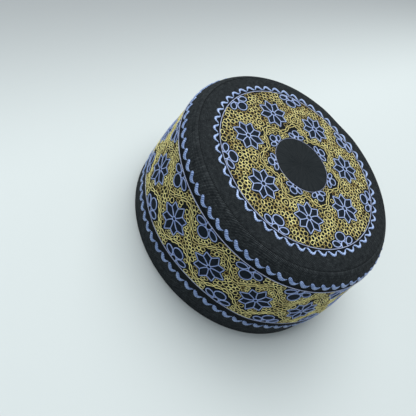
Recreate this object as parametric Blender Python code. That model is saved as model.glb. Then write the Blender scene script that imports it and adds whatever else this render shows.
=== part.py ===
"""A stiff round cap with a flat top: a crown panel sewn into a hollow side band.

Metres, +Z up. The origin is the centre of the rim's underside, so the cap stands on z = 0.
A cross-section is drawn as (radius, depth), with the depth measured down from the crown's plane.
It is spun into a ring, and the ring is then leant and dented the way the stitched cloth has settled.
"""

import math

import bmesh
import bpy

MM = 0.001

# Whole cap
CAP_HEIGHT = 87.0 * MM
CLOTH_THICKNESS = 2.5 * MM
CROWN_LEAN = -4.0 * MM  # along X, from nothing at the belly to this at the crown
SIDES = 90
SHARP_ANGLE = math.radians(40.0)
MERGE_DISTANCE = 0.001 * MM

# Seam between the crown panel and the side band
SEAM_RADIUS = 79.9 * MM
SEAM_DEPTH = 1.5 * MM
SEAM_GAP = 0.3 * MM

# Crown panel
CROWN_ROLL_RADIUS = 70.0 * MM  # outside this the panel curves down into the seam
CROWN_FLAT_RINGS = 7
CROWN_ROLL_RINGS = 4
ROLL_POWER = 3.0

# Side band: a rounded shoulder, a wall that flares to a belly, and a hem that tucks in again
SHOULDER_RADIUS = 88.1 * MM
SHOULDER_DEPTH = 15.0 * MM
SHOULDER_POWER = 1.6
SHOULDER_RINGS = 8
BELLY_RADIUS = 92.3 * MM
BELLY_DEPTH = 64.0 * MM
WALL_RINGS = 6
RIM_RADIUS = 91.9 * MM
HEM_RINGS = 3
RIM_ROUND = 0.6 * MM

# Dips in the crown's edge. They start inside the panel and fade out down the band.
DIP_START_RADIUS = 38.0 * MM
DIP_FULL_DEPTH = 8.0 * MM
DIP_END_DEPTH = 48.0 * MM
EDGE_DIPS = (
    # name, direction in degrees from +X, half width in degrees, drop in mm
    ("far_sag", 87.0, 115.0, 2.6),
    ("far_notch", 93.0, 14.0, 0.8),
    ("left_sag", 180.0, 60.0, 2.0),
    ("near_sag", -60.0, 60.0, 2.0),
)

BLACK_CLOTH = (0.020, 0.022, 0.024, 1.0)
STITCHED_CLOTH = (0.060, 0.060, 0.052, 1.0)


def smoothstep(value):
    """0 below 0, 1 above 1, and the cubic 3t^2 - 2t^3 between."""
    t = min(max(value, 0.0), 1.0)
    return t * t * (3.0 - 2.0 * t)


def edge_drop(angle):
    """How far the crown's edge has sunk in this direction: one raised cosine for each dip."""
    total = 0.0
    for _name, direction, half_width, drop in EDGE_DIPS:
        away = (math.degrees(angle) - direction + 180.0) % 360.0 - 180.0
        if abs(away) < half_width:
            total += drop * MM * (0.5 + 0.5 * math.cos(math.pi * away / half_width))
    return total


def settle(co):
    """Moves a point of the evenly turned cap to where it lies on the settled one."""
    radius = math.hypot(co.x, co.y)
    depth = CAP_HEIGHT - co.z
    inside = smoothstep((radius - DIP_START_RADIUS) / (SEAM_RADIUS - DIP_START_RADIUS))
    below = 1.0 - smoothstep((depth - DIP_FULL_DEPTH) / (DIP_END_DEPTH - DIP_FULL_DEPTH))
    co.z -= edge_drop(math.atan2(co.y, co.x)) * inside * below
    co.x += CROWN_LEAN * max(0.0, 1.0 - depth / BELLY_DEPTH)


def band_radius(depth):
    """The band's outer radius: a superellipse shoulder, an eased flare, and a tucked hem."""
    if depth <= SHOULDER_DEPTH:
        up = (SHOULDER_DEPTH - depth) / (SHOULDER_DEPTH - SEAM_DEPTH)
        out = (1.0 - up**SHOULDER_POWER) ** (1.0 / SHOULDER_POWER)
        return SEAM_RADIUS + (SHOULDER_RADIUS - SEAM_RADIUS) * out
    if depth <= BELLY_DEPTH:
        down = smoothstep((depth - SHOULDER_DEPTH) / (BELLY_DEPTH - SHOULDER_DEPTH))
        return SHOULDER_RADIUS + (BELLY_RADIUS - SHOULDER_RADIUS) * down
    tuck = (depth - BELLY_DEPTH) / (CAP_HEIGHT - BELLY_DEPTH)
    return BELLY_RADIUS + (RIM_RADIUS - BELLY_RADIUS) * tuck * tuck


def spaced(first, last, count):
    """count values after first, evenly spaced, ending at last."""
    return [first + (last - first) * k / count for k in range(1, count + 1)]


def band_outside():
    """The band's outer line as (radius, depth), from the seam down to the rim's rounding."""
    depths = [SEAM_DEPTH]
    for angle in spaced(0.0, math.pi / 2, SHOULDER_RINGS):
        depths.append(SHOULDER_DEPTH - (SHOULDER_DEPTH - SEAM_DEPTH) * math.cos(angle))
    depths += spaced(SHOULDER_DEPTH, BELLY_DEPTH, WALL_RINGS)
    depths += spaced(BELLY_DEPTH, CAP_HEIGHT - RIM_ROUND, HEM_RINGS)
    return [(band_radius(depth), depth) for depth in depths]


def offset_inwards(line, distance):
    """The same line moved by distance towards the hollow, square to its own direction."""
    moved = []
    for k, (radius, depth) in enumerate(line):
        before = line[max(k - 1, 0)]
        after = line[min(k + 1, len(line) - 1)]
        along_radius = after[0] - before[0]
        along_depth = after[1] - before[1]
        length = math.hypot(along_radius, along_depth)
        moved.append(
            (
                radius - distance * along_depth / length,
                depth + distance * along_radius / length,
            )
        )
    return moved


def band_section():
    """The band's closed cross-section: down the outside, across the flat rim, up the inside."""
    outside = band_outside()
    inside = offset_inwards(outside, CLOTH_THICKNESS)
    inside[0] = (SEAM_RADIUS, SEAM_DEPTH + CLOTH_THICKNESS)
    inner_radius = inside[-1][0]
    cut = RIM_ROUND * (1.0 - math.cos(math.pi / 4))  # how far a round corner's middle is cut back
    rim = [
        (RIM_RADIUS - cut, CAP_HEIGHT - cut),
        (RIM_RADIUS - RIM_ROUND, CAP_HEIGHT),
        (inner_radius + RIM_ROUND, CAP_HEIGHT),
        (inner_radius + cut, CAP_HEIGHT - cut),
        (inner_radius, CAP_HEIGHT - RIM_ROUND),
    ]
    return outside + rim + inside[-2::-1]


def crown_section():
    """The panel's cross-section from the axis out along the top, and back along the underside."""
    edge = SEAM_RADIUS - SEAM_GAP
    top = [(0.0, 0.0)]
    top += [(radius, 0.0) for radius in spaced(0.0, CROWN_ROLL_RADIUS, CROWN_FLAT_RINGS)]
    for radius in spaced(CROWN_ROLL_RADIUS, edge, CROWN_ROLL_RINGS):
        rolled = (radius - CROWN_ROLL_RADIUS) / (edge - CROWN_ROLL_RADIUS)
        top.append((radius, SEAM_DEPTH * rolled**ROLL_POWER))
    underside = [(radius, depth + CLOTH_THICKNESS) for radius, depth in reversed(top)]
    return top + underside


def spun_solid(name, section, closed, material):
    """Spins a section about the Z axis, settles its points, and makes the object."""
    bm = bmesh.new()
    corners = [bm.verts.new((radius, 0.0, CAP_HEIGHT - depth)) for radius, depth in section]
    edges = [bm.edges.new(pair) for pair in zip(corners, corners[1:])]
    if closed:
        edges.append(bm.edges.new((corners[-1], corners[0])))
    bmesh.ops.spin(
        bm,
        geom=corners + edges,
        cent=(0.0, 0.0, 0.0),
        axis=(0.0, 0.0, 1.0),
        angle=2.0 * math.pi,
        steps=SIDES,
        use_merge=True,
    )
    bmesh.ops.remove_doubles(bm, verts=bm.verts, dist=MERGE_DISTANCE)
    bmesh.ops.dissolve_degenerate(bm, edges=bm.edges, dist=MERGE_DISTANCE)
    bmesh.ops.recalc_face_normals(bm, faces=bm.faces)
    for vert in bm.verts:
        settle(vert.co)
    mesh = bpy.data.meshes.new(name)
    bm.to_mesh(mesh)
    bm.free()
    mesh.shade_smooth()
    mesh.set_sharp_from_angle(angle=SHARP_ANGLE)
    mesh.materials.append(material)
    piece = bpy.data.objects.new(name, mesh)
    bpy.context.scene.collection.objects.link(piece)
    return piece


def cloth(name, colour, roughness):
    """A dull woven cloth in one colour."""
    material = bpy.data.materials.new(name)
    material.use_nodes = True
    shader = material.node_tree.nodes["Principled BSDF"]
    shader.inputs["Base Color"].default_value = colour
    shader.inputs["Roughness"].default_value = roughness
    shader.inputs["Metallic"].default_value = 0.0
    return material


for leftover in list(bpy.data.objects):
    bpy.data.objects.remove(leftover, do_unlink=True)

cap = bpy.data.objects.new("kufi", None)
bpy.context.scene.collection.objects.link(cap)

# The crown panel is a round of stiff quilted cloth whose edge rolls down into the seam.
crown_panel = spun_solid("crown_panel", crown_section(), False, cloth("crown_cloth", BLACK_CLOTH, 0.75))
crown_panel.parent = cap

# The side band is one strip of stiff quilted cloth closed into a ring, with its lower edge turned up.
side_band = spun_solid("side_band", band_section(), True, cloth("band_cloth", STITCHED_CLOTH, 0.8))
side_band.parent = cap
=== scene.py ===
"""A stiff round embroidered cap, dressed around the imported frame.

Sizes are in millimetres until a mesh is made. A place on the side band is (angle from +X in radians,
depth below the crown's plane), and a place on the crown panel is (x, y) before the cap settled.
"""

import bpy
import numpy as np
from mathutils import Matrix


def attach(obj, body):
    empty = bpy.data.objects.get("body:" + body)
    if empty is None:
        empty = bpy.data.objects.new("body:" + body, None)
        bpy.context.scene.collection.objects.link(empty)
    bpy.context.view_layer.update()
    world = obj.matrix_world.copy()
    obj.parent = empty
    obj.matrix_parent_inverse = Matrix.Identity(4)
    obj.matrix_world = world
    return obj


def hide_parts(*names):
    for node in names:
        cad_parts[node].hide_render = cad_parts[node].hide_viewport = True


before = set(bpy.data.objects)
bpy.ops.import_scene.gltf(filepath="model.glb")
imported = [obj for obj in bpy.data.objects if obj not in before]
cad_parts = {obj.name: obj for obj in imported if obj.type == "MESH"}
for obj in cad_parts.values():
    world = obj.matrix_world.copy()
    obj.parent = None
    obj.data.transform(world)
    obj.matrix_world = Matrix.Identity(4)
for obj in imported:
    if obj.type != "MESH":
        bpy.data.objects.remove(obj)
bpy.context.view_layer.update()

MM = 0.001
TURN = 2.0 * np.pi


# The viewpoint. The cap is seen from above its near left side, with the camera rolled so that the
# crown faces the top right of the picture.
CAMERA_PLACE = (-4.0, -290.26, 302.10)
CAMERA_RIGHT = (0.65633, 0.58086, 0.48149)
CAMERA_UP = (-0.75246, 0.45736, 0.47395)
CAMERA_BACK = (0.05508, -0.67337, 0.73725)
FOCAL_PIXELS = 504.76
PICTURE_PIXELS = 416.0
SENSOR_WIDTH = 36.0


def add_object(name, data):
    """Puts a new object with this data into the scene."""
    made = bpy.data.objects.new(name, data)
    bpy.context.scene.collection.objects.link(made)
    return made


def set_up(name, data, right, up, back, place):
    """A camera or a lamp, turned to its three axes and put at a place in metres."""
    made = add_object(name, data)
    turned = np.eye(4)
    turned[:3] = np.stack([right, up, back, place], axis=1)
    made.matrix_world = Matrix(turned.tolist())
    return made


camera_data = bpy.data.cameras.new("camera")
camera_data.sensor_width = SENSOR_WIDTH
camera_data.lens = FOCAL_PIXELS / PICTURE_PIXELS * SENSOR_WIDTH
camera_data.clip_start = 0.01
camera_place = np.array(CAMERA_PLACE) * MM
camera = set_up("camera", camera_data, CAMERA_RIGHT, CAMERA_UP, CAMERA_BACK, camera_place)
bpy.context.scene.camera = camera


# The studio: a wide pale floor, painted darker towards the back as painted shade for the light
# falling off there, a weak surrounding light, and one large soft lamp overhead to the left.
FLOOR_HALF = 3.0
FLOOR_COLOUR = (0.582, 0.638, 0.642, 1.0)
# painted shade: the floor's colour at the back, where the light falls off
FLOOR_PAINTED_SHADE_COLOUR = (0.28, 0.302, 0.313, 1.0)
FLOOR_BACK_WAY = (-0.97, 0.24, 0.0)
FLOOR_BACK_STARTS = 0.080
FLOOR_BACK_ENDS = 0.29
WORLD_COLOUR = (0.88, 0.94, 1.0, 1.0)
WORLD_STRENGTH = 0.36
LAMPS = (
    # name, place in metres, aim in metres, size in metres, power in watts, colour
    ("overhead", (-0.50, 0.42, 1.50), (0.0, 0.0, 0.04), 1.50, 33.5, (1.0, 0.995, 0.98)),
    ("near_fill", (-0.50, -1.30, 0.90), (0.0, 0.0, 0.04), 1.20, 5.0, (0.95, 0.98, 1.0)),
)


def new_material(name):
    """A material that uses nodes, and its node tree."""
    material = bpy.data.materials.new(name)
    material.use_nodes = True
    return material, material.node_tree


def feed(made, inputs):
    """Sets a node's inputs: a socket is linked, and anything else is a value."""
    for key, value in inputs.items():
        if isinstance(value, bpy.types.NodeSocket):
            made.id_data.links.new(value, made.inputs[key])
        else:
            made.inputs[key].default_value = value


def node(tree, kind, inputs, output=0, **settings):
    """Adds a node with its inputs and settings, and gives one of its outputs."""
    made = tree.nodes.new("ShaderNode" + kind)
    for key, value in settings.items():
        setattr(made, key, value)
    feed(made, inputs)
    return made.outputs[output]


def ramp(tree, share, stops):
    """A colour between two stops, each a position and a colour, by a share from 0 to 1."""
    made = tree.nodes.new("ShaderNodeValToRGB")
    for element, (position, colour) in zip(made.color_ramp.elements, stops):
        element.position = position
        element.color = colour
    feed(made, {"Fac": share})
    return made.outputs["Color"]


corners = np.array([(-1, -1, 0), (1, -1, 0), (1, 1, 0), (-1, 1, 0)]) * FLOOR_HALF
floor_mesh = bpy.data.meshes.new("floor")
floor_mesh.from_pydata(corners.tolist(), [], [(0, 1, 2, 3)])
floor = add_object("floor", floor_mesh)
floor_paint, tree = new_material("floor")
# Painted shade: the floor's colour darkens along FLOOR_BACK_WAY, standing in for the light falling off.
spot = {0: node(tree, "TexCoord", {}, "Object"), 1: FLOOR_BACK_WAY}
way = node(tree, "VectorMath", spot, "Value", operation="DOT_PRODUCT")
darkening = {"Value": way, "From Min": FLOOR_BACK_STARTS, "From Max": FLOOR_BACK_ENDS}
far = node(tree, "MapRange", darkening, interpolation_type="SMOOTHSTEP")
tone = ramp(tree, far, ((0.0, FLOOR_COLOUR), (1.0, FLOOR_PAINTED_SHADE_COLOUR)))
floor_look = {"Base Color": tone, "Roughness": 0.9, "Specular IOR Level": 0.1}
feed(tree.nodes["Principled BSDF"], floor_look)
floor_mesh.materials.append(floor_paint)

world = bpy.data.worlds.new("studio")
world.use_nodes = True
world.node_tree.nodes["Background"].inputs["Color"].default_value = WORLD_COLOUR
world.node_tree.nodes["Background"].inputs["Strength"].default_value = WORLD_STRENGTH
bpy.context.scene.world = world
bpy.context.scene.view_settings.view_transform = "Standard"

for name, place, aim, size, power, colour in LAMPS:
    light = bpy.data.lights.new(name, "AREA")
    light.size = size
    light.energy = power
    light.color = colour
    away = np.array(place) - np.array(aim)
    away = away / np.linalg.norm(away)
    across = np.cross((0.0, 0.0, 1.0), away)
    across = across / np.linalg.norm(across)
    set_up(name, light, across, np.cross(away, across), away, place)


# Side band: one strip of stiff black quilted cotton, closed into a ring, with rounded shoulder and
# a plain hem. Rows of fine stitching run round its top and its hem.
CAP_HEIGHT = 87.0
CLOTH_THICKNESS = 2.5
CROWN_LEAN = -4.0
SEAM_RADIUS = 79.9
SEAM_DEPTH = 1.5
SHOULDER_RADIUS = 88.1
SHOULDER_DEPTH = 15.0
SHOULDER_POWER = 1.6
BELLY_RADIUS = 92.3
BELLY_DEPTH = 64.0
RIM_RADIUS = 91.9
RIM_ROUND = 0.6
DIP_START_RADIUS = 38.0
DIP_FULL_DEPTH = 8.0
DIP_END_DEPTH = 48.0
EDGE_DIPS = ((87.0, 115.0, 2.6), (93.0, 14.0, 0.8), (180.0, 60.0, 2.0), (-60.0, 60.0, 2.0))

AROUND = 360
ROW_PITCH = 1.25
TOP_ROWS_END = 7.0
HEM_ROWS_START = 75.0
ROW_RELIEF = 0.11
FIELD_STEP = 1.6  # between the mesh's rings under the embroidery
# The embroidered field's middle depth and half height. Within it the band's cloth is painted dark, as painted
# shade from the threads.
FIELD_MIDDLE = 39.0
FIELD_HALF = 27.0
INNER_ROWS = 34
INNER_STOPS = 0.6  # below the seam
RIM_SPREAD = 1.35
RIM_SHIFT = 0.44


def smoothstep(value):
    """0 below 0, 1 above 1, and the cubic 3t^2 - 2t^3 between."""
    t = np.clip(value, 0.0, 1.0)
    return t * t * (3.0 - 2.0 * t)


def swell(angle, bumps):
    """A sum of raised cosines over an angle in radians. Each bump is a centre and a half width in
    degrees and its full size."""
    total = np.zeros_like(angle)
    for centre, half_width, size in bumps:
        away = (np.degrees(angle) - centre + 180.0) % 360.0 - 180.0
        away = np.clip(away / half_width, -1.0, 1.0)
        total += size * (0.5 + 0.5 * np.cos(np.pi * away))
    return total


def settled(x, y, depth):
    """Where a point of the evenly turned cap lies on the settled one: each dip is a raised cosine of
    the direction, full at the edge, faded out inside the crown and down the band, and the upper part
    leans along X in proportion to its height above the belly."""
    radius = np.hypot(x, y)
    drop = swell(np.arctan2(y, x), EDGE_DIPS)
    inside = smoothstep((radius - DIP_START_RADIUS) / (SEAM_RADIUS - DIP_START_RADIUS))
    below = 1.0 - smoothstep((depth - DIP_FULL_DEPTH) / (DIP_END_DEPTH - DIP_FULL_DEPTH))
    lean = CROWN_LEAN * np.clip(1.0 - depth / BELLY_DEPTH, 0.0, None)
    return np.stack([x + lean, y, CAP_HEIGHT - depth - drop * inside * below], axis=-1)


def band_radius(depth):
    """The band's outer radius: a superellipse shoulder, an eased flare, and a tucked hem."""
    up = np.clip((SHOULDER_DEPTH - depth) / (SHOULDER_DEPTH - SEAM_DEPTH), 0.0, 1.0)
    out = (1.0 - up**SHOULDER_POWER) ** (1.0 / SHOULDER_POWER)
    shoulder = SEAM_RADIUS + (SHOULDER_RADIUS - SEAM_RADIUS) * out
    down = smoothstep((depth - SHOULDER_DEPTH) / (BELLY_DEPTH - SHOULDER_DEPTH))
    wall = SHOULDER_RADIUS + (BELLY_RADIUS - SHOULDER_RADIUS) * down
    tuck = np.clip((depth - BELLY_DEPTH) / (CAP_HEIGHT - BELLY_DEPTH), 0.0, None)
    hem = BELLY_RADIUS + (RIM_RADIUS - BELLY_RADIUS) * tuck * tuck
    return np.where(depth <= SHOULDER_DEPTH, shoulder, np.where(depth <= BELLY_DEPTH, wall, hem))


def on_band(angle, depth, lift):
    """A point lift above the band's outer face: the face's own point moved along the normal of its
    profile, which is (1, -slope) for a slope of radius over depth."""
    step = 0.05
    before = np.clip(depth - step, SEAM_DEPTH, CAP_HEIGHT)
    after = np.clip(depth + step, SEAM_DEPTH, CAP_HEIGHT)
    slope = np.clip((band_radius(after) - band_radius(before)) / (after - before), -8.0, 8.0)
    length = np.hypot(1.0, slope)
    radius = band_radius(depth) + lift / length
    return settled(radius * np.cos(angle), radius * np.sin(angle), depth - lift * slope / length)


def row_relief(across, pitch, relief):
    """Rows of stitching pressed into cloth: rounded ridges, |cosine| shaped, one for each pitch."""
    return relief * (np.abs(np.cos(np.pi * across / pitch)) ** 0.7 - 0.5)


def make_piece(name, points, corners, sizes, uv, material, shades=None):
    """Puts whole arrays into a mesh: points in millimetres, the corner indices of every face one
    after another, the corner count of each face, and one UV pair for each corner."""
    mesh = bpy.data.meshes.new(name)
    mesh.vertices.add(len(points))
    mesh.vertices.foreach_set("co", (points * MM).astype(np.float32).ravel())
    mesh.loops.add(len(corners))
    mesh.loops.foreach_set("vertex_index", corners.astype(np.int32))
    mesh.polygons.add(len(sizes))
    starts = np.concatenate([[0], np.cumsum(sizes)[:-1]])
    mesh.polygons.foreach_set("loop_start", starts.astype(np.int32))
    mesh.polygons.foreach_set("loop_total", sizes.astype(np.int32))
    mesh.update(calc_edges=True)
    mesh.validate()
    layer = mesh.uv_layers.new(name="along_across")
    layer.data.foreach_set("uv", uv.astype(np.float32).ravel())
    if shades is not None:
        shade = mesh.attributes.new("shade", "FLOAT", "POINT")
        shade.data.foreach_set("value", shades.astype(np.float32))
    mesh.shade_smooth()
    mesh.materials.append(material)
    piece = add_object(name, mesh)
    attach(piece, "root")
    return piece


def indices(*sizes):
    """Every combination of the indices below the sizes: one flat array for each size."""
    return [index.ravel() for index in np.indices(sizes)]


def ring_grid(points, rise, run):
    """Faces of a grid whose rows run round the cap and whose columns are closed too, like a torus.
    points is (rows, around, 3); rise is each row's UV height and run the UV length of a full turn.
    Gives the arguments that make_piece takes."""
    rows, around = points.shape[:2]
    i, j = indices(rows, around)
    down, along = (i + 1) % rows, (j + 1) % around
    corners = np.stack([i * around + j, down * around + j, down * around + along, i * around + along])
    high = np.append(rise, rise[-1] + np.abs(rise[-1] - rise[-2]))
    u = np.stack([j, j, j + 1, j + 1]) * run / around
    v = np.stack([high[i], high[i + 1], high[i + 1], high[i]])
    uv = np.stack([u.T, v.T], axis=-1).reshape(-1, 2)
    return points.reshape(-1, 3), corners.T.ravel(), np.full(i.size, 4), uv


def maths(tree, operation, *values):
    """One step of arithmetic on values and sockets, by the name of its operation."""
    return node(tree, "Math", dict(enumerate(values)), operation=operation)


def on_uv(tree, output=None):
    """The piece's own UV map in millimetres, or its X or Y alone."""
    place = node(tree, "UVMap", {}, uv_map="along_across")
    return node(tree, "SeparateXYZ", {"Vector": place}, output) if output else place


def set_shader(tree, share, stops, height, strength, depth, look):
    """Colours the shader by the share between two stops, bumps it by a height that reaches depth in
    millimetres, and sets its other inputs."""
    reach = {"Height": height, "Strength": strength, "Distance": depth * MM}
    look = {**look, "Base Color": ramp(tree, share, stops), "Normal": node(tree, "Bump", reach)}
    feed(tree.nodes["Principled BSDF"], look)


def stitched_cloth(name, dark, light, row_pitch, field_middle, field_half):
    """Black quilted cotton. Its colour drifts between dark and light with a slow noise, and is painted
    lighter on the tops of the stitches and darker in the gaps between them: painted highlight and
    painted shade that follow the bumps. The stitches are a brick pattern of short dashes in rows, and
    a fine twill lies between them. Both are bumps on the piece's own UV map, in millimetres. Nearer
    than field_half to field_middle, across the rows, the cloth lies under the embroidery and is
    painted plainly dark, as painted shade from the threads over it."""
    material, tree = new_material(name)
    place = on_uv(tree)
    dashes = {"Vector": place, "Scale": 1.0, "Brick Width": 2.1, "Row Height": row_pitch}
    dashes.update({"Mortar Size": 0.16, "Mortar Smooth": 1.0, "Mortar": (0.0, 0.0, 0.0, 1.0)})
    dashes.update({"Color1": (1.0, 1.0, 1.0, 1.0), "Color2": (0.62, 0.62, 0.62, 1.0)})
    bricks = node(tree, "TexBrick", dashes, "Color", offset=0.5, squash=1.0)
    diagonal = {"Vector": place, "Scale": 0.55, "Distortion": 1.2, "Detail": 2.0}
    twill = node(tree, "TexWave", diagonal, "Fac", wave_type="BANDS", bands_direction="DIAGONAL")
    slow = {"Vector": place, "Scale": 0.35, "Detail": 5.0, "Roughness": 0.7}
    drift = node(tree, "TexNoise", slow, "Fac")
    # Painted highlight: raised, the stitches' height, bumps the cloth and also lightens its colour on the
    # stitch tops.
    raised = maths(tree, "MULTIPLY_ADD", bricks, 0.55, twill)
    # Painted shade: inside the embroidered field the colour is held at the dark stop, for the threads' shade.
    off = maths(tree, "ABSOLUTE", maths(tree, "SUBTRACT", on_uv(tree, "Y"), field_middle))
    edge = {"Value": off, "From Min": field_half, "From Max": field_half + 3.0}
    outside = node(tree, "MapRange", edge, "Result")
    shown = maths(tree, "MULTIPLY", maths(tree, "MULTIPLY", raised, drift), outside)
    look = {"Roughness": 0.75, "Specular IOR Level": 0.08, "Sheen Weight": 0.01, "Sheen Roughness": 0.4}
    set_shader(tree, shown, ((0.35, dark), (0.95, light)), raised, 0.55, 0.25, look)
    return material


# The light stop, reached on the stitch tops, is a painted highlight.
BLACK_LOW = (0.0048, 0.0070, 0.0088, 1.0)
BLACK_HIGH = (0.066, 0.077, 0.083, 1.0)
band_cloth = stitched_cloth("band_cloth", BLACK_LOW, BLACK_HIGH, ROW_PITCH, FIELD_MIDDLE, FIELD_HALF)

top_depths = np.arange(SEAM_DEPTH, TOP_ROWS_END, ROW_PITCH / 4.0)
field_depths = np.arange(TOP_ROWS_END, HEM_ROWS_START, FIELD_STEP)
hem_depths = np.arange(HEM_ROWS_START, CAP_HEIGHT - RIM_ROUND, ROW_PITCH / 4.0)
outer_depth = np.concatenate([top_depths, field_depths, hem_depths])
quilted = np.where((outer_depth < TOP_ROWS_END) | (outer_depth >= HEM_ROWS_START), 1.0, 0.0)
quilted[0] = 0.0
outer_lift = quilted * row_relief(outer_depth, ROW_PITCH, ROW_RELIEF)
inner_depth = np.linspace(CAP_HEIGHT - RIM_ROUND, SEAM_DEPTH + INNER_STOPS, INNER_ROWS)
inner_lift = np.full(inner_depth.size, -CLOTH_THICKNESS)
turn_in = np.linspace(0.0, np.pi, 7)[1:-1]
rim_middle = CLOTH_THICKNESS / 2.0
rim_depth = CAP_HEIGHT - RIM_ROUND + RIM_ROUND * np.sin(turn_in)
rim_lift = -rim_middle + rim_middle * np.cos(turn_in)
rim_lift = np.clip(rim_lift * RIM_SPREAD + RIM_SHIFT, -CLOTH_THICKNESS, 0.0)
depths = np.concatenate([outer_depth, rim_depth, inner_depth])
lifts = np.concatenate([outer_lift, rim_lift, inner_lift])
turns = np.arange(AROUND) * TURN / AROUND
depth_grid, turn_grid = np.meshgrid(depths, turns, indexing="ij")
lift_grid = np.repeat(lifts[:, None], AROUND, axis=1)
band_points = on_band(turn_grid, np.clip(depth_grid, SEAM_DEPTH, CAP_HEIGHT), lift_grid)
rim_rows = slice(outer_depth.size, outer_depth.size + rim_depth.size)
band_points[rim_rows, :, 2] = CAP_HEIGHT - depth_grid[rim_rows]
profile_length = np.concatenate([[0.0], np.cumsum(np.hypot(np.diff(depths), np.diff(lifts)))])
side_band = make_piece(
    "side_band_cloth",
    *ring_grid(band_points, profile_length, TURN * SHOULDER_RADIUS),
    band_cloth,
)
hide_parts("side_band")


# Crown panel: a round of the same quilted cotton. Its flat middle carries the embroidery, and its
# black edge is sewn in close rings before it rolls down into the seam.
CROWN_ROLL_RADIUS = 70.0
CROWN_EDGE = 79.82
ROLL_POWER = 3.0
RINGS_START = 70.4
RING_PITCH = 1.3
RING_RELIEF = 0.13
FIRST_RING = 2.5
RING_STEP = 2.2  # between the mesh's rings under the embroidery
EDGE_SINKS = 0.2
# Within this radius the crown's cloth is painted dark, as painted shade from the threads over it.
CROWN_FIELD_HALF = 66.0


def on_crown(x, y, lift):
    """A point lift above the crown's top, which is flat inside the roll and drops with the cube of
    the way across it."""
    rolled = np.clip((np.hypot(x, y) - CROWN_ROLL_RADIUS) / (CROWN_EDGE - CROWN_ROLL_RADIUS), 0.0, 1.0)
    return settled(x, y, SEAM_DEPTH * rolled**ROLL_POWER - lift)


def round_grid(points, first, last, rise, run):
    """Faces of a closed round: rows of points from the pole first out and back to the pole last,
    with a fan of triangles at each pole. Gives the arguments that make_piece takes."""
    rows, around = points.shape[:2]
    i, j = indices(rows - 1, around)
    row, along = i * around, (j + 1) % around
    quads = np.stack([row + j, row + around + j, row + around + along, row + along])
    quad_u = np.stack([j, j, j + 1, j + 1]) * run / around
    quad_v = np.stack([rise[i], rise[i + 1], rise[i + 1], rise[i]])
    j = np.arange(around)
    after = (j + 1) % around
    low = (rows - 1) * around
    inner = np.stack([np.full(around, rows * around), j, after])
    outer = np.stack([np.full(around, rows * around + 1), low + after, low + j])
    fan_u = np.stack([j + 0.5, j, j + 1]) * run / around
    corners = np.concatenate([quads.T.ravel(), inner.T.ravel(), outer.T.ravel()])
    sizes = np.concatenate([np.full(quads.shape[1], 4), np.full(2 * around, 3)])
    first_v = np.stack([np.zeros(around), np.full(around, rise[0]), np.full(around, rise[0])])
    last_v = first_v - rise[0] + rise[-1]
    u = np.concatenate([quad_u.T.ravel(), fan_u.T.ravel(), fan_u.T.ravel()])
    v = np.concatenate([quad_v.T.ravel(), first_v.T.ravel(), last_v.T.ravel()])
    every = np.concatenate([points.reshape(-1, 3), first[None], last[None]])
    return every, corners, sizes, np.stack([u, v], axis=-1)


# The light stop, reached on the stitched rings, is a painted highlight.
CROWN_HIGH = (0.050, 0.059, 0.064, 1.0)
crown_cloth = stitched_cloth("crown_cloth", BLACK_LOW, CROWN_HIGH, RING_PITCH, 0.0, CROWN_FIELD_HALF)

flat_radii = np.arange(FIRST_RING, RINGS_START, RING_STEP)
ring_radii = np.arange(RINGS_START, CROWN_EDGE, RING_PITCH / 4.0)
top_radii = np.concatenate([flat_radii, ring_radii, [CROWN_EDGE]])
ringed = row_relief(top_radii - RINGS_START, RING_PITCH, RING_RELIEF)
top_lift = np.where(top_radii >= RINGS_START, ringed, 0.0)
top_lift[-1] = -EDGE_SINKS
under_radii = np.linspace(CROWN_EDGE, 3.0, 24)
radii = np.concatenate([top_radii, under_radii])
crown_lift = np.concatenate([top_lift, np.full(under_radii.size, -CLOTH_THICKNESS)])
radius_grid, turn_grid = np.meshgrid(radii, turns, indexing="ij")
lift_grid = np.repeat(crown_lift[:, None], AROUND, axis=1)
crown_points = on_crown(radius_grid * np.cos(turn_grid), radius_grid * np.sin(turn_grid), lift_grid)
across_steps = np.hypot(np.diff(radii), np.diff(crown_lift))
across_length = FIRST_RING + np.concatenate([[0.0], np.cumsum(across_steps)])
zero = np.zeros(1)
crown_panel = make_piece(
    "crown_panel_cloth",
    *round_grid(
        crown_points,
        on_crown(zero, zero, zero)[0],
        on_crown(zero, zero, zero - CLOTH_THICKNESS)[0],
        across_length,
        TURN * SEAM_RADIUS,
    ),
    crown_cloth,
)
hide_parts("crown_panel")


# Satin round: the crown's middle is filled with black thread, laid from the centre out in close
# stitches that stand a little above the cloth. Their number is a guess.
DISC_RADIUS = 21.9
DISC_CENTRE = 0.8 + 0.5j
DISC_STITCHES = 180
DISC_LIFT = 0.35
STITCH_RELIEF = 0.07


def laid_thread(name, deep, bright):
    """Dark thread laid flat. Fine lines follow the stitches, which run outwards, so the colour between
    deep and bright and the bump are a noise that is drawn out twentyfold along the UV map's v. The
    colour is lighter where the noise raises the strands: partly the strands' own random tone and
    partly painted sheen."""
    material, tree = new_material(name)
    drawn_out = node(tree, "Mapping", {"Vector": on_uv(tree), "Scale": (1.0, 0.05, 1.0)})
    fine = {"Vector": drawn_out, "Scale": 1.6, "Detail": 4.0, "Roughness": 0.75}
    strands = node(tree, "TexNoise", fine, "Fac")
    look = {"Roughness": 0.6, "Specular IOR Level": 0.04}
    set_shader(tree, strands, ((0.35, deep), (0.75, bright)), strands, 0.35, 0.15, look)
    return material


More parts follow.
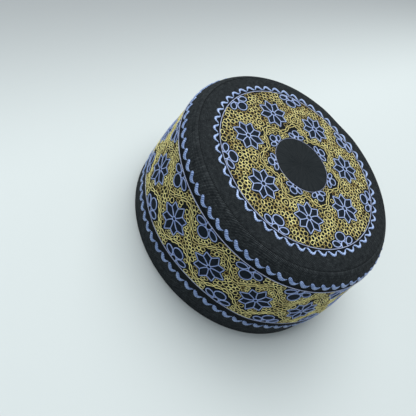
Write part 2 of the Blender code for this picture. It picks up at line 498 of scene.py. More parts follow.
satin_turns = np.arange(DISC_STITCHES * 4) * TURN / (DISC_STITCHES * 4)
rise = np.array([0.04, 0.12, 0.25, 0.4, 0.55, 0.7, 0.82, 0.9, 0.955, 0.985, 1.0, 1.0, 0.9, 0.5, 0.1])
fall = np.array([0.97, 0.9, 0.72, 0.42, 0.0])
disc_lift = np.concatenate([np.ones(6), fall, np.full(4, -0.5)]) * DISC_LIFT
radius_grid, turn_grid = np.meshgrid(rise * DISC_RADIUS, satin_turns, indexing="ij")
ridge = np.abs(np.cos(turn_grid * DISC_STITCHES / 2.0)) * STITCH_RELIEF
ridged = np.where(disc_lift > 0.1, np.clip(rise * 4.0, 0.0, 1.0), 0.0)
lift_grid = disc_lift[:, None] + ridge * ridged[:, None]
disc_places = DISC_CENTRE + radius_grid * np.exp(1j * turn_grid)
disc_middle = zero + DISC_CENTRE
satin_round = make_piece(
    "satin_round",
    *round_grid(
        on_crown(disc_places.real, disc_places.imag, lift_grid),
        on_crown(disc_middle.real, disc_middle.imag, zero + DISC_LIFT)[0],
        on_crown(disc_middle.real, disc_middle.imag, zero - 0.5 * DISC_LIFT)[0],
        np.cumsum(np.abs(np.diff(rise * DISC_RADIUS, prepend=0.0))),
        TURN * DISC_RADIUS,
    ),
    laid_thread("black_satin", (0.006, 0.009, 0.011, 1.0), (0.026, 0.031, 0.034, 1.0)),
)


# Thin pale lines: one couched lavender cord on each edge of the two embroidered fields.
BAND_ARC = 90.0  # millimetres of the band's chart for each radian
BAND_TURN = TURN * BAND_ARC
OUTER_LINE_RADIUS = 65.2
INNER_LINE_RADIUS = 22.3
FIELD_HEIGHT = 46.6
LOWER_LINE_BUMPS = ((-88.0, 30.0, -1.7), (-55.0, 14.0, 1.1), (-150.0, 35.0, 1.2))
LINE_HALF_WIDTH = 0.29
LINE_HALF_HEIGHT = 0.28
LINE_LIFT = 0.15
INNER_LINE = (0.45 * LINE_HALF_WIDTH, 0.16, 0.06)  # half width, half height and lift


def upper_line(angle):
    """The depth of the band's upper line, which dips a little towards the left."""
    return 15.2 - 0.6 * np.cos(angle + np.radians(60.0))


def lower_line(angle):
    """The depth of the band's lower line, which runs slightly out of level and wavers."""
    return 61.6 + 3.5 * np.cos(angle + np.radians(160.0)) + swell(angle, LOWER_LINE_BUMPS)


def thread(chart, lines, half_width, half_height, lift, closed=True, sides=6, wrap=None):
    """Thread laid along lines. chart turns two flat coordinates and a lift into a place in space,
    and lines is (count, points, 2) in its coordinates. The thread's section is an ellipse: its points
    are the line's point, plus half_width times the cosine along the line's left side, at a lift of
    half_height times the sine. wrap is the chart's length round, for a line that closes across it.
    Gives points, corners, sizes and UV; u is the length along the thread and v the way round it."""
    count, steps = lines.shape[:2]
    if closed:
        ahead, behind = np.roll(lines, -1, axis=1), np.roll(lines, 1, axis=1)
    else:
        ahead = np.concatenate([lines[:, 1:], lines[:, -1:]], axis=1)
        behind = np.concatenate([lines[:, :1], lines[:, :-1]], axis=1)
    along, onward = ahead - behind, ahead - lines
    if wrap is not None:
        along[..., 0] = (along[..., 0] + wrap / 2.0) % wrap - wrap / 2.0
        onward[..., 0] = (onward[..., 0] + wrap / 2.0) % wrap - wrap / 2.0
    along = along / np.maximum(np.linalg.norm(along, axis=-1, keepdims=True), 1e-9)
    left = np.stack([-along[..., 1], along[..., 0]], axis=-1)
    around = np.arange(sides) * TURN / sides
    width = np.broadcast_to(half_width, (count, steps))[..., None]
    height = np.broadcast_to(half_height, (count, steps))[..., None]
    across = width * np.cos(around)
    up = np.broadcast_to(lift, (count, steps))[..., None] + height * np.sin(around)
    place = lines[:, :, None, :] + left[:, :, None, :] * across[..., None]
    points = chart(place[..., 0], place[..., 1], up).reshape(-1, 3)
    spans = steps if closed else steps - 1
    n, i, k = indices(count, spans, sides)
    here, there = (n * steps + i) * sides, (n * steps + (i + 1) % steps) * sides
    turned = (k + 1) % sides
    corners = np.stack([here + k, here + turned, there + turned, there + k]).T.ravel()
    length = np.cumsum(np.linalg.norm(onward, axis=-1), axis=1)
    length = np.concatenate([np.zeros((count, 1)), length], axis=1)
    u = np.stack([length[n, i], length[n, i], length[n, i + 1], length[n, i + 1]]).T.ravel()
    v = (np.stack([k, k + 1, k + 1, k]) / sides).T.ravel()
    sizes = np.full(n.size, 4)
    if not closed:
        n, k = indices(count, sides)
        start = n * steps * sides + (sides - 1 - k)
        end = (n * steps + steps - 1) * sides + k
        corners = np.concatenate([corners, start, end])
        sizes = np.concatenate([sizes, np.full(2 * count, sides)])
        u = np.concatenate([u, np.zeros(n.size), length[n, steps - 1]])
        v = np.concatenate([v, k / sides, k / sides])
    return points, corners, sizes, np.stack([u, v], axis=-1)


def joined(parts):
    """Several sets of points, corners, sizes and UV as one, with the corners' indices moved on."""
    starts = np.concatenate([[0], np.cumsum([len(part[0]) for part in parts])[:-1]])
    return (
        np.concatenate([part[0] for part in parts]),
        np.concatenate([part[1] + start for part, start in zip(parts, starts)]),
        np.concatenate([part[2] for part in parts]),
        np.concatenate([part[3] for part in parts]),
    )


def band_chart(along, height, lift):
    """The band unrolled: along is the angle in radians times BAND_ARC, and height is minus the depth."""
    return on_band(along / BAND_ARC, -height, lift)


def spun_thread(name, deep, bright, pitch, roughness, groove_shade=0.45):
    """Embroidery thread. Its plies or stitches are a wave along the thread that is twisted once round
    it: a sine of the length over pitch plus the way round. The wave bumps the grooves and paints them
    darker, a painted shade whose strength is the last argument. Between deep and bright the colour
    follows a noise and each thread's shade attribute: its random tone, if it has one, plus any offset
    for its whole part, and those offsets are painted light and shade."""
    material, tree = new_material(name)
    twist = maths(tree, "MULTIPLY", on_uv(tree, "Y"), TURN)
    wave = maths(tree, "SINE", maths(tree, "MULTIPLY_ADD", on_uv(tree, "X"), TURN / pitch, twist))
    raised = maths(tree, "MULTIPLY_ADD", wave, 0.5, 0.5)
    patches = {"Vector": node(tree, "TexCoord", {}, "Object"), "Scale": 420.0, "Detail": 3.0}
    drift = node(tree, "TexNoise", patches, "Fac")
    own = node(tree, "Attribute", {}, "Fac", attribute_name="shade")
    shade = maths(tree, "SUBTRACT", maths(tree, "MULTIPLY_ADD", drift, 0.8, own), 0.1)
    # Painted shade: the wave darkens the colour in the grooves.
    share = maths(tree, "MULTIPLY_ADD", raised, groove_shade, shade)
    look = {"Roughness": roughness, "Sheen Weight": 0.10, "Sheen Roughness": 0.35}
    set_shader(tree, share, ((0.1, deep), (0.95, bright)), raised, 0.5, 0.12, look)
    return material


def flat(lines):
    """Complex lines as (lines, points, 2): the real part first."""
    return np.stack([lines.real, lines.imag], axis=-1).reshape(-1, lines.shape[-1], 2)


pale_thread = spun_thread("pale_thread", (0.18, 0.22, 0.36, 1.0), (0.52, 0.59, 0.80, 1.0), 1.1, 0.5)
circle = np.exp(1j * turns)
outer_ring = flat(OUTER_LINE_RADIUS * circle)
inner_ring = flat(DISC_CENTRE + INNER_LINE_RADIUS * circle)
parts = [
    thread(on_crown, outer_ring, LINE_HALF_WIDTH, LINE_HALF_HEIGHT, LINE_LIFT),
    thread(on_crown, inner_ring, *INNER_LINE),
]
for edge in (upper_line, lower_line):
    line = flat(turns * BAND_ARC - 1j * edge(turns))
    parts.append(thread(band_chart, line, LINE_HALF_WIDTH, LINE_HALF_HEIGHT, LINE_LIFT, wrap=BAND_TURN))
pale_lines = make_piece("pale_lines", *joined(parts), pale_thread)


# Wave borders: rows of raised blue satin strokes, one round the crown's field and one on each side
# of the band's. Every stroke starts with a round head, swells, and ends in a thin tail at the next.
# Each row is what strokes takes, and the first angle is in degrees.
CROWN_WAVES = (49, -102.24, -1.40, 0.94, 0.60, 0.93, (0.50, 0.95, 0.24), 0.52)
UPPER_WAVES = (64, -90.40, 1.25, 0.96, 0.60, 0.78, (1.08, 1.30, 0.18), 0.42)
LOWER_WAVES = (69, -92.60, 1.65, 0.94, 0.55, 0.92, (1.22, 1.72, 0.26), 0.42)
CROWN_WAVE_RADIUS = 68.05
UPPER_WAVE_DEPTH = 9.75
LOWER_WAVE_DROP = 7.7
WAVE_STEPS = 17
WAVE_HEIGHT = 0.62
WAVE_HEAD = 0.10
WAVE_LIFT = 0.1
WAVE_SIDES = 8
SATIN_DEEP = (0.050, 0.110, 0.290, 1.0)
SATIN_BRIGHT = (0.470, 0.615, 0.930, 1.0)
# Painted shade: the band's strokes, the same thread as the crown's, are painted darker because they face away
# from the light.
BAND_SATIN_SHADE = -0.22  # the band's strokes are darker than the crown's

blue_satin = spun_thread("blue_satin", SATIN_DEEP, SATIN_BRIGHT, 1.1, 0.35, 0.6)


def strokes(count, first, amplitude, reach, turn_at, sweep, widths, fattest):
    """count strokes as (angles, offsets, half widths, heights), each (count, WAVE_STEPS). A stroke
    covers reach of its pitch. Its offset is a cosine, flattened at both turns by the power 0.75, that
    is half way round at turn_at and has gone through sweep of a turn at the end. Its half width eases
    between the three widths, with the second at fattest, and both ends are rounded. The height goes
    with the root of the width."""
    share = np.linspace(0.0, 1.0, WAVE_STEPS)
    angle = np.radians(first) + TURN / count * (np.arange(count)[:, None] + reach * share)
    swing = np.cos(TURN * np.interp(share, (0.0, turn_at, 1.0), (0.0, 0.5, sweep)))
    offset = np.broadcast_to(amplitude * np.sign(swing) * np.abs(swing) ** 0.75, angle.shape)
    start, fat, end = widths
    swelling = smoothstep(share / fattest)
    shrinking = smoothstep((share - fattest) / (1.0 - fattest)) ** 1.5
    width = start + (fat - start) * swelling - (fat - end) * shrinking
    to_end = np.minimum(share, 1.0 - share) / WAVE_HEAD
    width = width * np.sqrt(np.clip(1.0 - np.clip(1.0 - to_end, 0.0, 1.0) ** 2, 0.15, 1.0))
    width = np.broadcast_to(width, angle.shape)
    return angle, offset, width, WAVE_HEIGHT * np.sqrt(width / fat)


def upper_wave(angle):
    """The depth of the upper border's middle, which follows the upper line by half."""
    return UPPER_WAVE_DEPTH + 0.5 * (upper_line(angle) - 15.0)


def lower_wave(angle):
    """The depth of the lower border's middle."""
    return LOWER_WAVE_DROP + lower_line(angle)


angle, offset, width, height = strokes(*CROWN_WAVES)
lines = flat((CROWN_WAVE_RADIUS + offset) * np.exp(1j * angle))
parts = [thread(on_crown, lines, width, height, WAVE_LIFT, closed=False, sides=WAVE_SIDES)]
for waves, middle in ((UPPER_WAVES, upper_wave), (LOWER_WAVES, lower_wave)):
    angle, offset, width, height = strokes(*waves)
    lines = flat(angle * BAND_ARC - 1j * (middle(angle) - offset))
    parts.append(thread(band_chart, lines, width, height, WAVE_LIFT, closed=False, sides=WAVE_SIDES))


def part_shades(parts, shades):
    """The shade of each part, repeated for each of its points."""
    return np.repeat(shades, [len(part[0]) for part in parts])


wave_shades = part_shades(parts, (0.0, BAND_SATIN_SHADE, BAND_SATIN_SHADE))
wave_borders = make_piece("wave_borders", *joined(parts), blue_satin, wave_shades)


# Stars: seven on the crown and fifteen on the band, outlined in blue thread. Each has eight points
# and eight lines from a small ring at its centre, with dark filled cells between them.
CROWN_REPEATS = 7
CROWN_FIRST_STAR = -98.2
CROWN_STAR_RADIUS = 43.8
BAND_REPEATS = 15
BAND_MIDDLE = -96.9
BAND_UNIT = BAND_TURN / BAND_REPEATS
STAR_HEIGHT = 21.6
STAR_SHARE = STAR_HEIGHT / FIELD_HEIGHT
BAND_EASE = 1.3
BAND_SKEW = 0.04
CROWN_STAR = (12.2, 11.8, 8.1)  # radii of the straight points, the slanted points and the valleys
BAND_STAR = (12.5, 11.3, 7.9)
CROWN_HUB_RADIUS = 1.85
BAND_HUB_RADIUS = 1.5
THREAD_HALF_WIDTH = 0.36
THIN_HALF_WIDTH = 0.92 * THREAD_HALF_WIDTH
THREAD_HEIGHT = 0.38
OUTLINE_LIFT = 0.18
SPOKE_LIFT = 0.12
HUB_LIFT = 0.15
PAD_TOP = 0.78  # the share of the way out where a filled cell is at its full rise
PAD_RISE = 0.12
PAD_SINKS = 0.08
# Painted shade: the band's star and flower threads, the same thread as the crown's, are painted darker
# because they face away from the light.
BAND_THREAD_SHADE = -0.18
crown_turns = np.radians(CROWN_FIRST_STAR) + np.arange(CROWN_REPEATS) * TURN / CROWN_REPEATS


def star_line(angle):
    """The depth of the band's star centres, which are highest at the front."""
    return 41.6 + swell(angle, ((-87.0, 62.0, -1.5),))


def field_chart(along, height, lift):
    """The band's embroidered field: along is measured from half way between two stars near the
    front, and height runs from 0 at the lower line through STAR_HEIGHT at the star line to
    FIELD_HEIGHT at the upper line, as a parabola between the three. The repeats are a little wider
    at the front than at the back, and lean slightly with the depth."""
    turn = along / BAND_ARC
    angle = np.radians(BAND_MIDDLE) + turn + np.radians(BAND_EASE) * np.sin(turn)
    share = height / FIELD_HEIGHT
    low, high = lower_line(angle), upper_line(angle)
    bulge = (star_line(angle) - low - (high - low) * STAR_SHARE) / (STAR_SHARE * (1.0 - STAR_SHARE))
    depth = low + (high - low) * share + bulge * share * (1.0 - share)
    angle = angle - np.radians(BAND_SKEW) * (depth - FIELD_MIDDLE)
    return on_band(angle, depth, lift)


def on_crown_units(lines):
    """Copies complex lines about the star centre to each of the crown's repeats, with the lines'
    imaginary axis pointing outwards: a turn of (radius minus i times the line)."""
    return flat(np.exp(1j * crown_turns)[:, None, None] * (CROWN_STAR_RADIUS - 1j * lines[None]))


def on_band_units(lines):
    """Copies complex lines about (0, 0) of a repeat, whose star is half a unit along, round the band."""
    start = (np.arange(BAND_REPEATS) - BAND_REPEATS // 2) * BAND_UNIT
    return flat(start[:, None, None] + lines[None])


def star_outline(straight, slanted, valley, steps=5):
    """A closed zigzag about 0 with eight points, the upright and level ones at the radius straight and
    those between at slanted, and eight valleys. Each edge is straight, and corners are eased by
    averaging neighbouring points."""
    tips = np.where(np.arange(16) % 4 == 0, straight, slanted)
    radii = np.where(np.arange(16) % 2 == 0, tips, valley)
    knots = radii * np.exp(1j * np.arange(16) * TURN / 16)
    share = np.arange(steps) / steps
    line = (knots[:, None] * (1 - share) + np.roll(knots, -1)[:, None] * share).ravel()
    return 0.8 * line + 0.1 * (np.roll(line, 1) + np.roll(line, -1))


def star_spokes(hub_radius, valley, bend=0.3):
    """Eight open lines from the hub to the valleys, each bowed to one side by a sine."""
    share = np.linspace(0.0, 1.0, 8)
    reach = hub_radius + (valley - hub_radius) * share
    side = bend * np.sin(np.pi * share) * np.where(np.arange(8) % 2 == 0, 1.0, -1.0)[:, None]
    turn = (np.arange(8) + 0.5) * TURN / 8
    return (reach + 1j * side) * np.exp(1j * turn)[:, None]


def pad(chart, outlines, centres):
    """Low filled cells: each closed outline just under the cloth's face, a ring PAD_TOP of the way
    out from its centre at the full rise, and fans from the centre above and below."""
    count, steps = outlines.shape[:2]
    middle = centres[:, None, :]
    inner = middle + PAD_TOP * (outlines - middle)
    low = chart(outlines[..., 0], outlines[..., 1], np.full((count, steps), -PAD_SINKS))
    high = chart(inner[..., 0], inner[..., 1], np.full((count, steps), PAD_RISE))
    top = chart(centres[:, 0], centres[:, 1], np.full(count, PAD_RISE))
    base = chart(centres[:, 0], centres[:, 1], np.full(count, -PAD_SINKS))
    points = np.concatenate([low.reshape(-1, 3), high.reshape(-1, 3), top, base])
    n, i = indices(count, steps)
    here, there = n * steps + i, n * steps + (i + 1) % steps
    total = count * steps
    quads = np.stack([here, there, there + total, here + total]).T.ravel()
    lids = np.stack([2 * total + n, here + total, there + total]).T.ravel()
    feet = np.stack([2 * total + count + n, there, here]).T.ravel()
    sizes = np.concatenate([np.full(n.size, 4), np.full(2 * n.size, 3)])
    corners = np.concatenate([quads, lids, feet])
    flat_places = np.concatenate([outlines.reshape(-1, 2), inner.reshape(-1, 2), centres, centres])
    return points, corners, sizes, flat_places[corners]


blue_thread = spun_thread("blue_thread", (0.130, 0.210, 0.500, 1.0), (0.580, 0.710, 0.980, 1.0), 0.8, 0.35)
dark_fill = laid_thread("dark_fill", (0.004, 0.008, 0.013, 1.0), (0.015, 0.022, 0.034, 1.0))

star_centre = 0.5 * BAND_UNIT + 1j * STAR_HEIGHT
crown_outline = star_outline(*CROWN_STAR)[None] * 1j
crown_spokes = star_spokes(CROWN_HUB_RADIUS, CROWN_STAR[2])
band_outline = star_centre + star_outline(*BAND_STAR)[None]
band_spokes = star_centre + star_spokes(BAND_HUB_RADIUS, BAND_STAR[2])
hub = np.exp(1j * np.arange(12) * TURN / 12)[None]
crown_hub = CROWN_HUB_RADIUS * hub
band_hub = star_centre + BAND_HUB_RADIUS * hub
hub_centre = np.zeros((1, 1), complex)

parts = []
for chart, placed, outline, spokes, ring in (
    (on_crown, on_crown_units, crown_outline, crown_spokes, crown_hub),
    (field_chart, on_band_units, band_outline, band_spokes, band_hub),
):
    parts.append(thread(chart, placed(outline), THREAD_HALF_WIDTH, THREAD_HEIGHT, OUTLINE_LIFT))
    parts.append(thread(chart, placed(spokes), THIN_HALF_WIDTH, THREAD_HEIGHT, SPOKE_LIFT, closed=False))
    parts.append(thread(chart, placed(ring), THIN_HALF_WIDTH, THREAD_HEIGHT, HUB_LIFT))
star_shades = part_shades(parts, (0.0, 0.0, 0.0) + 3 * (BAND_THREAD_SHADE,))
star_threads = make_piece("star_threads", *joined(parts), blue_thread, star_shades)


# Half flowers: a round petal, two leaves and an arch that grow from the edge of a field, half way
# between the stars, outlined in the same blue thread. Fourteen are on the crown, thirty on the band.
FLOWERS = {
    # field edge: loop's height, half width and half height, petal's root, end and half width, and
    # the arch's half width and height
    "crown_outer": (7.5, 4.6, 3.4, (2.9, 2.1), (9.6, 4.2), 2.4, 2.7, 4.1),
    "crown_inner": (5.1, 2.9, 2.5, (1.9, 1.1), (7.0, 3.8), 1.8, 1.8, 2.6),
    "band_upper": (8.7, 4.3, 4.3, (2.5, 2.3), (9.5, 5.5), 2.7, 2.3, 4.3),
    "band_lower": (7.6, 4.2, 3.7, (2.5, 2.1), (9.1, 5.3), 2.6, 2.3, 3.9),
}
OUTER_FLOWER_ARC = 61.5
INNER_FLOWER_ARC = 27.4
INNER_FLOWER_TURNS = (2.2, 0.2, -1.4, 2.0, 3.4, 5.3, 0.4)  # degrees that each was laid off its place
FLOWER_HALF_TURN = TURN / CROWN_REPEATS / 2.0
ARCH_LIFT = 0.14
ARCH_BELOW = 0.08  # radians of each end that run on below the edge
SMALL_FLOWER_THREAD = 0.8  # the inner flowers' thread, as a share of the others'
outer_turns = crown_turns + FLOWER_HALF_TURN
inner_turns = outer_turns + np.radians(INNER_FLOWER_TURNS)


def flower_outlines(loop_height, half_width, half_height, root, end, petal_half_width, *_arch):
    """Three closed complex lines about the point where the flower stands on the edge: an ellipse, and
    a leaf to each side. A leaf's point is (1 - cosine) / 2 of the way from root to end, and a sine
    to its side that is drawn in towards the root."""
    turn = np.arange(28) * TURN / 28
    loop = 1j * loop_height + half_width * np.cos(turn) + 1j * half_height * np.sin(turn)
    start, reach = complex(*root), complex(*end) - complex(*root)
    along = (1.0 - np.cos(turn)) / 2.0
    side = petal_half_width * np.sin(turn) * np.abs(np.sin(turn / 2.0)) ** 0.25
    leaf = start + reach * along + 1j * side * reach / abs(reach)
    return np.stack([loop, leaf, -leaf.conj()])


def arch(half_width, height):
    """An open half ellipse above the edge, its ends a little below it."""
    turn = np.linspace(-ARCH_BELOW, np.pi + ARCH_BELOW, 13)
    return (half_width * np.cos(turn) + 1j * height * np.sin(turn))[None]


def at_crown_outer(lines):
    """Flower lines stood on the crown's outer line, growing inwards."""
    angle = outer_turns[:, None, None] + lines.real[None] / OUTER_FLOWER_ARC
    return flat((OUTER_LINE_RADIUS - lines.imag[None]) * np.exp(1j * angle))


def at_crown_inner(lines):
    """Flower lines stood on the line round the satin, growing outwards."""
    angle = inner_turns[:, None, None] - lines.real[None] / INNER_FLOWER_ARC
    return flat(DISC_CENTRE + (INNER_LINE_RADIUS + lines.imag[None]) * np.exp(1j * angle))


def at_band_upper(lines):
    """Flower lines hung from the band's upper line."""
    return on_band_units(1j * FIELD_HEIGHT - lines)


parts, cells = [], []
for name, chart, placed in (
    ("crown_outer", on_crown, at_crown_outer),
    ("crown_inner", on_crown, at_crown_inner),
    ("band_upper", field_chart, at_band_upper),
    ("band_lower", field_chart, on_band_units),
):
    size = THREAD_HALF_WIDTH * (SMALL_FLOWER_THREAD if name == "crown_inner" else 1.0)
    outlines = flower_outlines(*FLOWERS[name])
    arc = arch(*FLOWERS[name][-2:])
    parts.append(thread(chart, placed(outlines), size, THREAD_HEIGHT, OUTLINE_LIFT))
    parts.append(thread(chart, placed(arc), size, THREAD_HEIGHT, ARCH_LIFT, closed=False))
    middles = placed(outlines.mean(axis=1, keepdims=True))[:, 0]
    cells.append(pad(chart, placed(outlines), middles))
flower_shades = part_shades(parts, (0.0, 0.0, 0.0, 0.0) + 4 * (BAND_THREAD_SHADE,))
flower_threads = make_piece("flower_threads", *joined(parts), blue_thread, flower_shades)

crown_star_middle = on_crown_units(hub_centre)[:, 0]
band_star_middle = on_band_units(star_centre + hub_centre)[:, 0]
cells.append(pad(on_crown, on_crown_units(crown_outline), crown_star_middle))
cells.append(pad(field_chart, on_band_units(band_outline), band_star_middle))
filled_cells = make_piece("filled_cells", *joined(cells), dark_fill)


# Gold strands: old gold thread laid in close parallel rows, which hang like garlands between the
# figures of both fields and coil into small rounds between the crown's stars.
STRAND_HALF_WIDTH = 0.30
STRAND_HEIGHT = 0.33
STRAND_LIFT = 0.16
STRAND_SIDES = 5
STRAND_PITCH = 2.0
BAND_SWAYS = 113  # waves of a strand in a full turn
CROWN_SWAYS = 36
SLOW_SWAY = 0.40
QUICK_SWAY = 0.28
STRAND_SHADES = 0.10  # how much one strand's shade differs from the next
UPPER_GARLAND = (33.6, 6.1, 2)  # middle height, rise at the stars, strands
LOWER_GARLAND = (10.3, -4.6, 2)
CROWN_GARLAND = (31.2, -3.6, 2)  # middle radius, rise at the stars, strands
COIL_MIDDLE = 41.0
COIL_RADII = (1.3, 3.3)
# Painted light and shade: one gold thread, painted darker on the crown and lighter on the band, to even out
# how differently the lamps light the two.
CROWN_GOLD_SHADE = -0.08
BAND_GOLD_SHADE = 0.10
GOLD_DEEP = (0.235, 0.150, 0.008, 1.0)
GOLD_BRIGHT = (0.96, 0.905, 0.39, 1.0)
rng = np.random.default_rng(7)

gold_thread = spun_thread("gold_thread", GOLD_DEEP, GOLD_BRIGHT, 0.9, 0.45, 0.7)


def garland_height(along, middle, rise, _strands):
    """A band garland's height: a cosine with one wave for each repeat, highest or lowest at the star."""
    return middle - rise * np.cos(TURN * along / BAND_UNIT)


def garland_radius(angle):
    """The crown garland's radius: a cosine with one wave for each repeat, least at the star."""
    middle, rise, _strands = CROWN_GARLAND
    return middle + rise * np.cos(CROWN_REPEATS * (angle - np.radians(CROWN_FIRST_STAR)))


def beside(strands, around, waves):
    """How far each strand lies to the side of its garland, with two waves of its own phases. around is
    the angle along the garland in radians, and waves is the longer wave's count in a full turn."""
    side = (np.arange(strands) - 0.5 * (strands - 1)) * STRAND_PITCH
    phase = rng.uniform(0.0, TURN, (2, strands, 1))
    slow, quick = np.sin(phase[0] + waves * around), np.sin(phase[1] + 2 * waves * around)
    return side[:, None] + SLOW_SWAY * slow + QUICK_SWAY * quick


def strands(chart, lines, wrap=None):
    """Gold strands laid along complex lines."""
    size = (STRAND_HALF_WIDTH, STRAND_HEIGHT, STRAND_LIFT)
    return thread(chart, flat(lines), *size, sides=STRAND_SIDES, wrap=wrap)


around = np.arange(900) * TURN / 900
along = around * BAND_ARC
parts = []
for garland in (UPPER_GARLAND, LOWER_GARLAND):
    height = garland_height(along, *garland) + beside(garland[2], around, BAND_SWAYS)
    parts.append(strands(field_chart, along + 1j * height, BAND_TURN))
band_strands = joined(parts)

around = around[::2]
radius = garland_radius(around) + beside(CROWN_GARLAND[2], around, CROWN_SWAYS)
coil_centres = COIL_MIDDLE * np.exp(1j * outer_turns)
coil_turn = np.arange(22) * TURN / 22
wobble = 1.0 + 0.10 * np.sin(3.0 * coil_turn + rng.uniform(0.0, TURN, (CROWN_REPEATS, len(COIL_RADII), 1)))
coils = coil_centres[:, None, None] + np.array(COIL_RADII)[None, :, None] * wobble * np.exp(1j * coil_turn)
crown_strands = joined([strands(on_crown, radius * np.exp(1j * around)), strands(on_crown, coils)])


def shaded(parts, threads, middle, spread):
    """One random shade about the middle one for each of so many equal threads, repeated for each of
    its points."""
    return np.repeat(rng.normal(middle, spread, threads), len(parts[0]) // threads)


strand_count = UPPER_GARLAND[2] + LOWER_GARLAND[2]
strand_shades = shaded(band_strands, strand_count, BAND_GOLD_SHADE, STRAND_SHADES)
gold_strands_band = make_piece("gold_strands_band", *band_strands, gold_thread, strand_shades)
strand_shades = np.full(len(crown_strands[0]), CROWN_GOLD_SHADE)
gold_strands_crown = make_piece("gold_strands_crown", *crown_strands, gold_thread, strand_shades)


# Gold ground: the same gold thread chain stitched in small loops that lie side by side, so that a
# dark hole is left in each and a dark edge round every blue figure.
LOOP_PITCH = 3.1
LOOP_STEPS = 10
LOOP_SIDES = 4
LOOP_HALF_WIDTH = 0.23
LOOP_HALF_HEIGHT = 0.20
LOOP_LIFT = 0.15
LOOP_GAP = 0.04
LOOP_OVAL = 0.06
LOOP_SCATTER = 0.33
LOOP_SHADES = 0.38  # how much one loop's shade differs from the next
LOOP_CLEAR = 0.36 * LOOP_PITCH  # that a loop's middle is pushed to keep from the figures
LOOP_DROPPED = 0.2 * LOOP_PITCH  # nearer than this it is left out
LOOP_MOST = 0.72 * LOOP_PITCH
LOOP_LEAST = 0.34
SETTLE_ROUNDS = 5
HALO = 1.25
EDGE_CLEAR = 0.65
BAND_RUN = 3 * BAND_UNIT  # the loops repeat after this


def star_gap(place, straight, slanted, valley):
    """How far a complex place is outside a star about 0: its radius less the zigzag's, which goes
    evenly with the angle between a tip and a valley."""
    turn = np.angle(place) / (TURN / 16.0)
    to_tip = np.abs((turn % 2.0) - 1.0)
    slant = np.abs(((turn + 2.0) % 4.0) - 2.0) > 1.0
    tip = np.where(slant, slanted, straight)
    return np.abs(place) - (valley + (tip - valley) * to_tip)


def flower_gap(place, loop_height, half_width, half_height, root, end, petal_half_width, *_arch):
    """How far a complex place is outside a flower that stands at 0: the least of its distances from
    the loop's ellipse, from the nearer petal's, and from a round that covers the arch."""
    folded = np.abs(place.real) + 1j * place.imag
    loop = folded - 1j * loop_height
    to_loop = (np.hypot(loop.real / half_width, loop.imag / half_height) - 1.0) * half_height
    start, stop = complex(*root), complex(*end)
    reach = (stop - start) / 2.0
    leaf = (folded - (start + stop) / 2.0) * np.exp(-1j * np.angle(reach))
    to_leaf = (np.hypot(leaf.real / abs(reach), leaf.imag / petal_half_width) - 1.0) * petal_half_width
    return np.minimum(np.minimum(to_loop, to_leaf), np.abs(place) - abs(start))


def band_free(place):
    """Clearance from every figure and line in one repeat of the band's field; the star stands at half
    a unit along, and flowers at both ends."""
    along = (place.real + 0.5 * BAND_UNIT) % BAND_UNIT - 0.5 * BAND_UNIT
    from_star = (place.real % BAND_UNIT) - 0.5 * BAND_UNIT + 1j * (place.imag - STAR_HEIGHT)
    figures = np.minimum(
        star_gap(from_star, *BAND_STAR),
        np.minimum(
            flower_gap(-along + 1j * (FIELD_HEIGHT - place.imag), *FLOWERS["band_upper"]),
            flower_gap(along + 1j * place.imag, *FLOWERS["band_lower"]),
        ),
    )
    clear = np.minimum(figures - HALO, np.minimum(place.imag, FIELD_HEIGHT - place.imag) - EDGE_CLEAR)
    for garland in (UPPER_GARLAND, LOWER_GARLAND):
        off = np.abs(place.imag - garland_height(place.real, *garland))
        clear = np.minimum(clear, 0.85 * off - 0.5 * garland[2] * STRAND_PITCH)
    return clear


def crown_free(place):
    """Clearance from every figure and line of the crown's field."""
    turn, radius = np.angle(place), np.abs(place)
    to_star = (turn - crown_turns[0] + FLOWER_HALF_TURN) % (2.0 * FLOWER_HALF_TURN) - FLOWER_HALF_TURN
    from_star = radius * np.exp(1j * to_star) - CROWN_STAR_RADIUS
    to_flower = FLOWER_HALF_TURN - np.abs(to_star)
    outer = to_flower * OUTER_FLOWER_ARC + 1j * (OUTER_LINE_RADIUS - radius)
    figures = np.minimum(star_gap(from_star, *CROWN_STAR), flower_gap(outer, *FLOWERS["crown_outer"]))
    off_disc = place - DISC_CENTRE
    for inner_turn in inner_turns:
        aside = (np.angle(off_disc) - inner_turn + np.pi) % TURN - np.pi
        inner = aside * INNER_FLOWER_ARC + 1j * (np.abs(off_disc) - INNER_LINE_RADIUS)
        figures = np.minimum(figures, flower_gap(inner, *FLOWERS["crown_inner"]))
    edges = np.minimum(np.abs(off_disc) - INNER_LINE_RADIUS, OUTER_LINE_RADIUS - radius) - EDGE_CLEAR
    clear = np.minimum(figures - HALO, edges)
    off = np.abs(radius - garland_radius(turn))
    clear = np.minimum(clear, 0.9 * off - 0.5 * CROWN_GARLAND[2] * STRAND_PITCH)
    for centre in coil_centres:
        clear = np.minimum(clear, np.abs(place - centre) - COIL_RADII[-1] - STRAND_HALF_WIDTH)
    return clear


def copies(sites, shifts):
    """The sites again at each shift: the band's repeat along it, and the crown's go right round."""
    return np.concatenate([sites + shift for shift in shifts])


def settle_sites(sites, shifts, free):
    """Spreads complex sites evenly: each is pushed from its neighbours nearer than the pitch by a
    quarter of what is missing, then up the clearance's slope until it is clear of the figures."""
    for _ in range(SETTLE_ROUNDS):
        apart = sites[:, None] - copies(sites, shifts)[None, :]
        distance = np.abs(apart)
        near = (distance > 1e-6) & (distance < LOOP_PITCH)
        push = np.where(near, apart / np.maximum(distance, 1e-6) * (LOOP_PITCH - distance), 0.0)
        sites = sites + 0.25 * push.sum(axis=1)
        missing = np.clip(LOOP_CLEAR - free(sites), 0.0, 0.8)
        slope = (free(sites + 0.05) - free(sites - 0.05)) + 1j * (free(sites + 0.05j) - free(sites - 0.05j))
        sites = sites + missing * slope / np.maximum(np.abs(slope), 1e-6)
    return sites[free(sites) > LOOP_DROPPED]


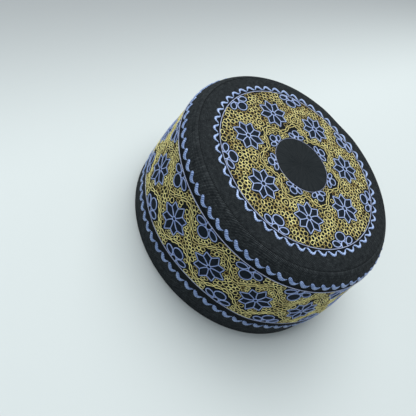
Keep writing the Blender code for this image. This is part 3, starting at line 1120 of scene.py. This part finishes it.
def loops_round(sites, shifts, free):
    """One closed line of LOOP_STEPS points round each site. In every direction it reaches half way to
    the neighbours, which is the least of distance squared over twice the neighbour's part along that
    direction, then stops short of the figures and by LOOP_GAP of the next loop. One direction of
    each is drawn in by twice LOOP_OVAL."""
    turn = np.arange(LOOP_STEPS) * TURN / LOOP_STEPS + rng.uniform(0.0, TURN, len(sites))[:, None]
    ahead = np.exp(1j * turn)
    apart = copies(sites, shifts)[None, :] - sites[:, None]
    distance = np.abs(apart)
    close = (distance > 1e-6) & (distance < 3.0 * LOOP_PITCH)
    order = np.argsort(np.where(close, distance, 1e9), axis=1)[:, :14]
    apart = np.take_along_axis(apart, order, axis=1)
    distance = np.take_along_axis(distance, order, axis=1)
    along = (apart[:, None, :] * ahead[:, :, None].conj()).real
    reach = np.where(along > 1e-3, distance[:, None, :] ** 2 / np.maximum(2.0 * along, 1e-3), 9.0).min(axis=2)
    reach = np.minimum(reach, LOOP_MOST)
    for out in np.linspace(0.2, LOOP_MOST, 14):
        blocked = free(sites[:, None] + out * ahead) < 0.0
        reach = np.where(blocked, np.minimum(reach, out), reach)
    reach = np.maximum(reach - LOOP_GAP - rng.uniform(0.0, 0.10, len(sites))[:, None], LOOP_LEAST)
    narrow = rng.uniform(0.0, TURN, len(sites))[:, None]
    drawn_in = 1.0 - LOOP_OVAL * (1.0 + np.cos(2.0 * (turn - narrow)))
    reach = np.maximum(reach * drawn_in, LOOP_LEAST)
    reach = 0.5 * reach + 0.25 * (np.roll(reach, 1, axis=1) + np.roll(reach, -1, axis=1))
    return sites[:, None] + reach * ahead


def laid_loops(sites, shifts, free):
    """Loops round the sites, which are first shifted at random by about LOOP_SCATTER of the pitch
    and then settled."""
    shift = rng.normal(0.0, LOOP_SCATTER * LOOP_PITCH, (2, sites.size))
    sites = sites + shift[0] + 1j * shift[1]
    sites = settle_sites(sites[free(sites) > -0.4], shifts, free)
    return loops_round(sites, shifts, free)


columns = int(round(BAND_RUN / LOOP_PITCH))
rows = int(round(FIELD_HEIGHT / (LOOP_PITCH * 0.87)))
row, column = indices(rows, columns)
band_sites = (column + 0.5 * (row % 2)) / columns * BAND_RUN + 1j * (row + 0.5) / rows * FIELD_HEIGHT
band_loops = laid_loops(band_sites, (0.0, -BAND_RUN, BAND_RUN), band_free)

crown_sites = []
for radius in np.arange(INNER_LINE_RADIUS + 1.4, OUTER_LINE_RADIUS - 0.9, 0.88 * LOOP_PITCH):
    number = int(round(TURN * radius / LOOP_PITCH))
    crown_sites.append(radius * np.exp(1j * (np.arange(number) * TURN / number + radius)))
crown_loops = laid_loops(np.concatenate(crown_sites), (0.0,), crown_free)

parts = thread(on_crown, flat(crown_loops), LOOP_HALF_WIDTH, LOOP_HALF_HEIGHT, LOOP_LIFT, sides=LOOP_SIDES)
loop_shades = shaded(parts, len(crown_loops), CROWN_GOLD_SHADE, LOOP_SHADES)
gold_loops_crown = make_piece("gold_loops_crown", *parts, gold_thread, loop_shades)

band_starts = ((3 * np.arange(5) - BAND_REPEATS // 2) * BAND_UNIT).reshape(-1, 1, 1)
for name, first, last in (("gold_loops_left", 0, 2), ("gold_loops_front", 2, 3), ("gold_loops_right", 3, 5)):
    placed = flat(band_starts[first:last] + band_loops[None])
    parts = thread(field_chart, placed, LOOP_HALF_WIDTH, LOOP_HALF_HEIGHT, LOOP_LIFT, sides=LOOP_SIDES)
    loops = make_piece(name, *parts, gold_thread, shaded(parts, len(placed), BAND_GOLD_SHADE, LOOP_SHADES))
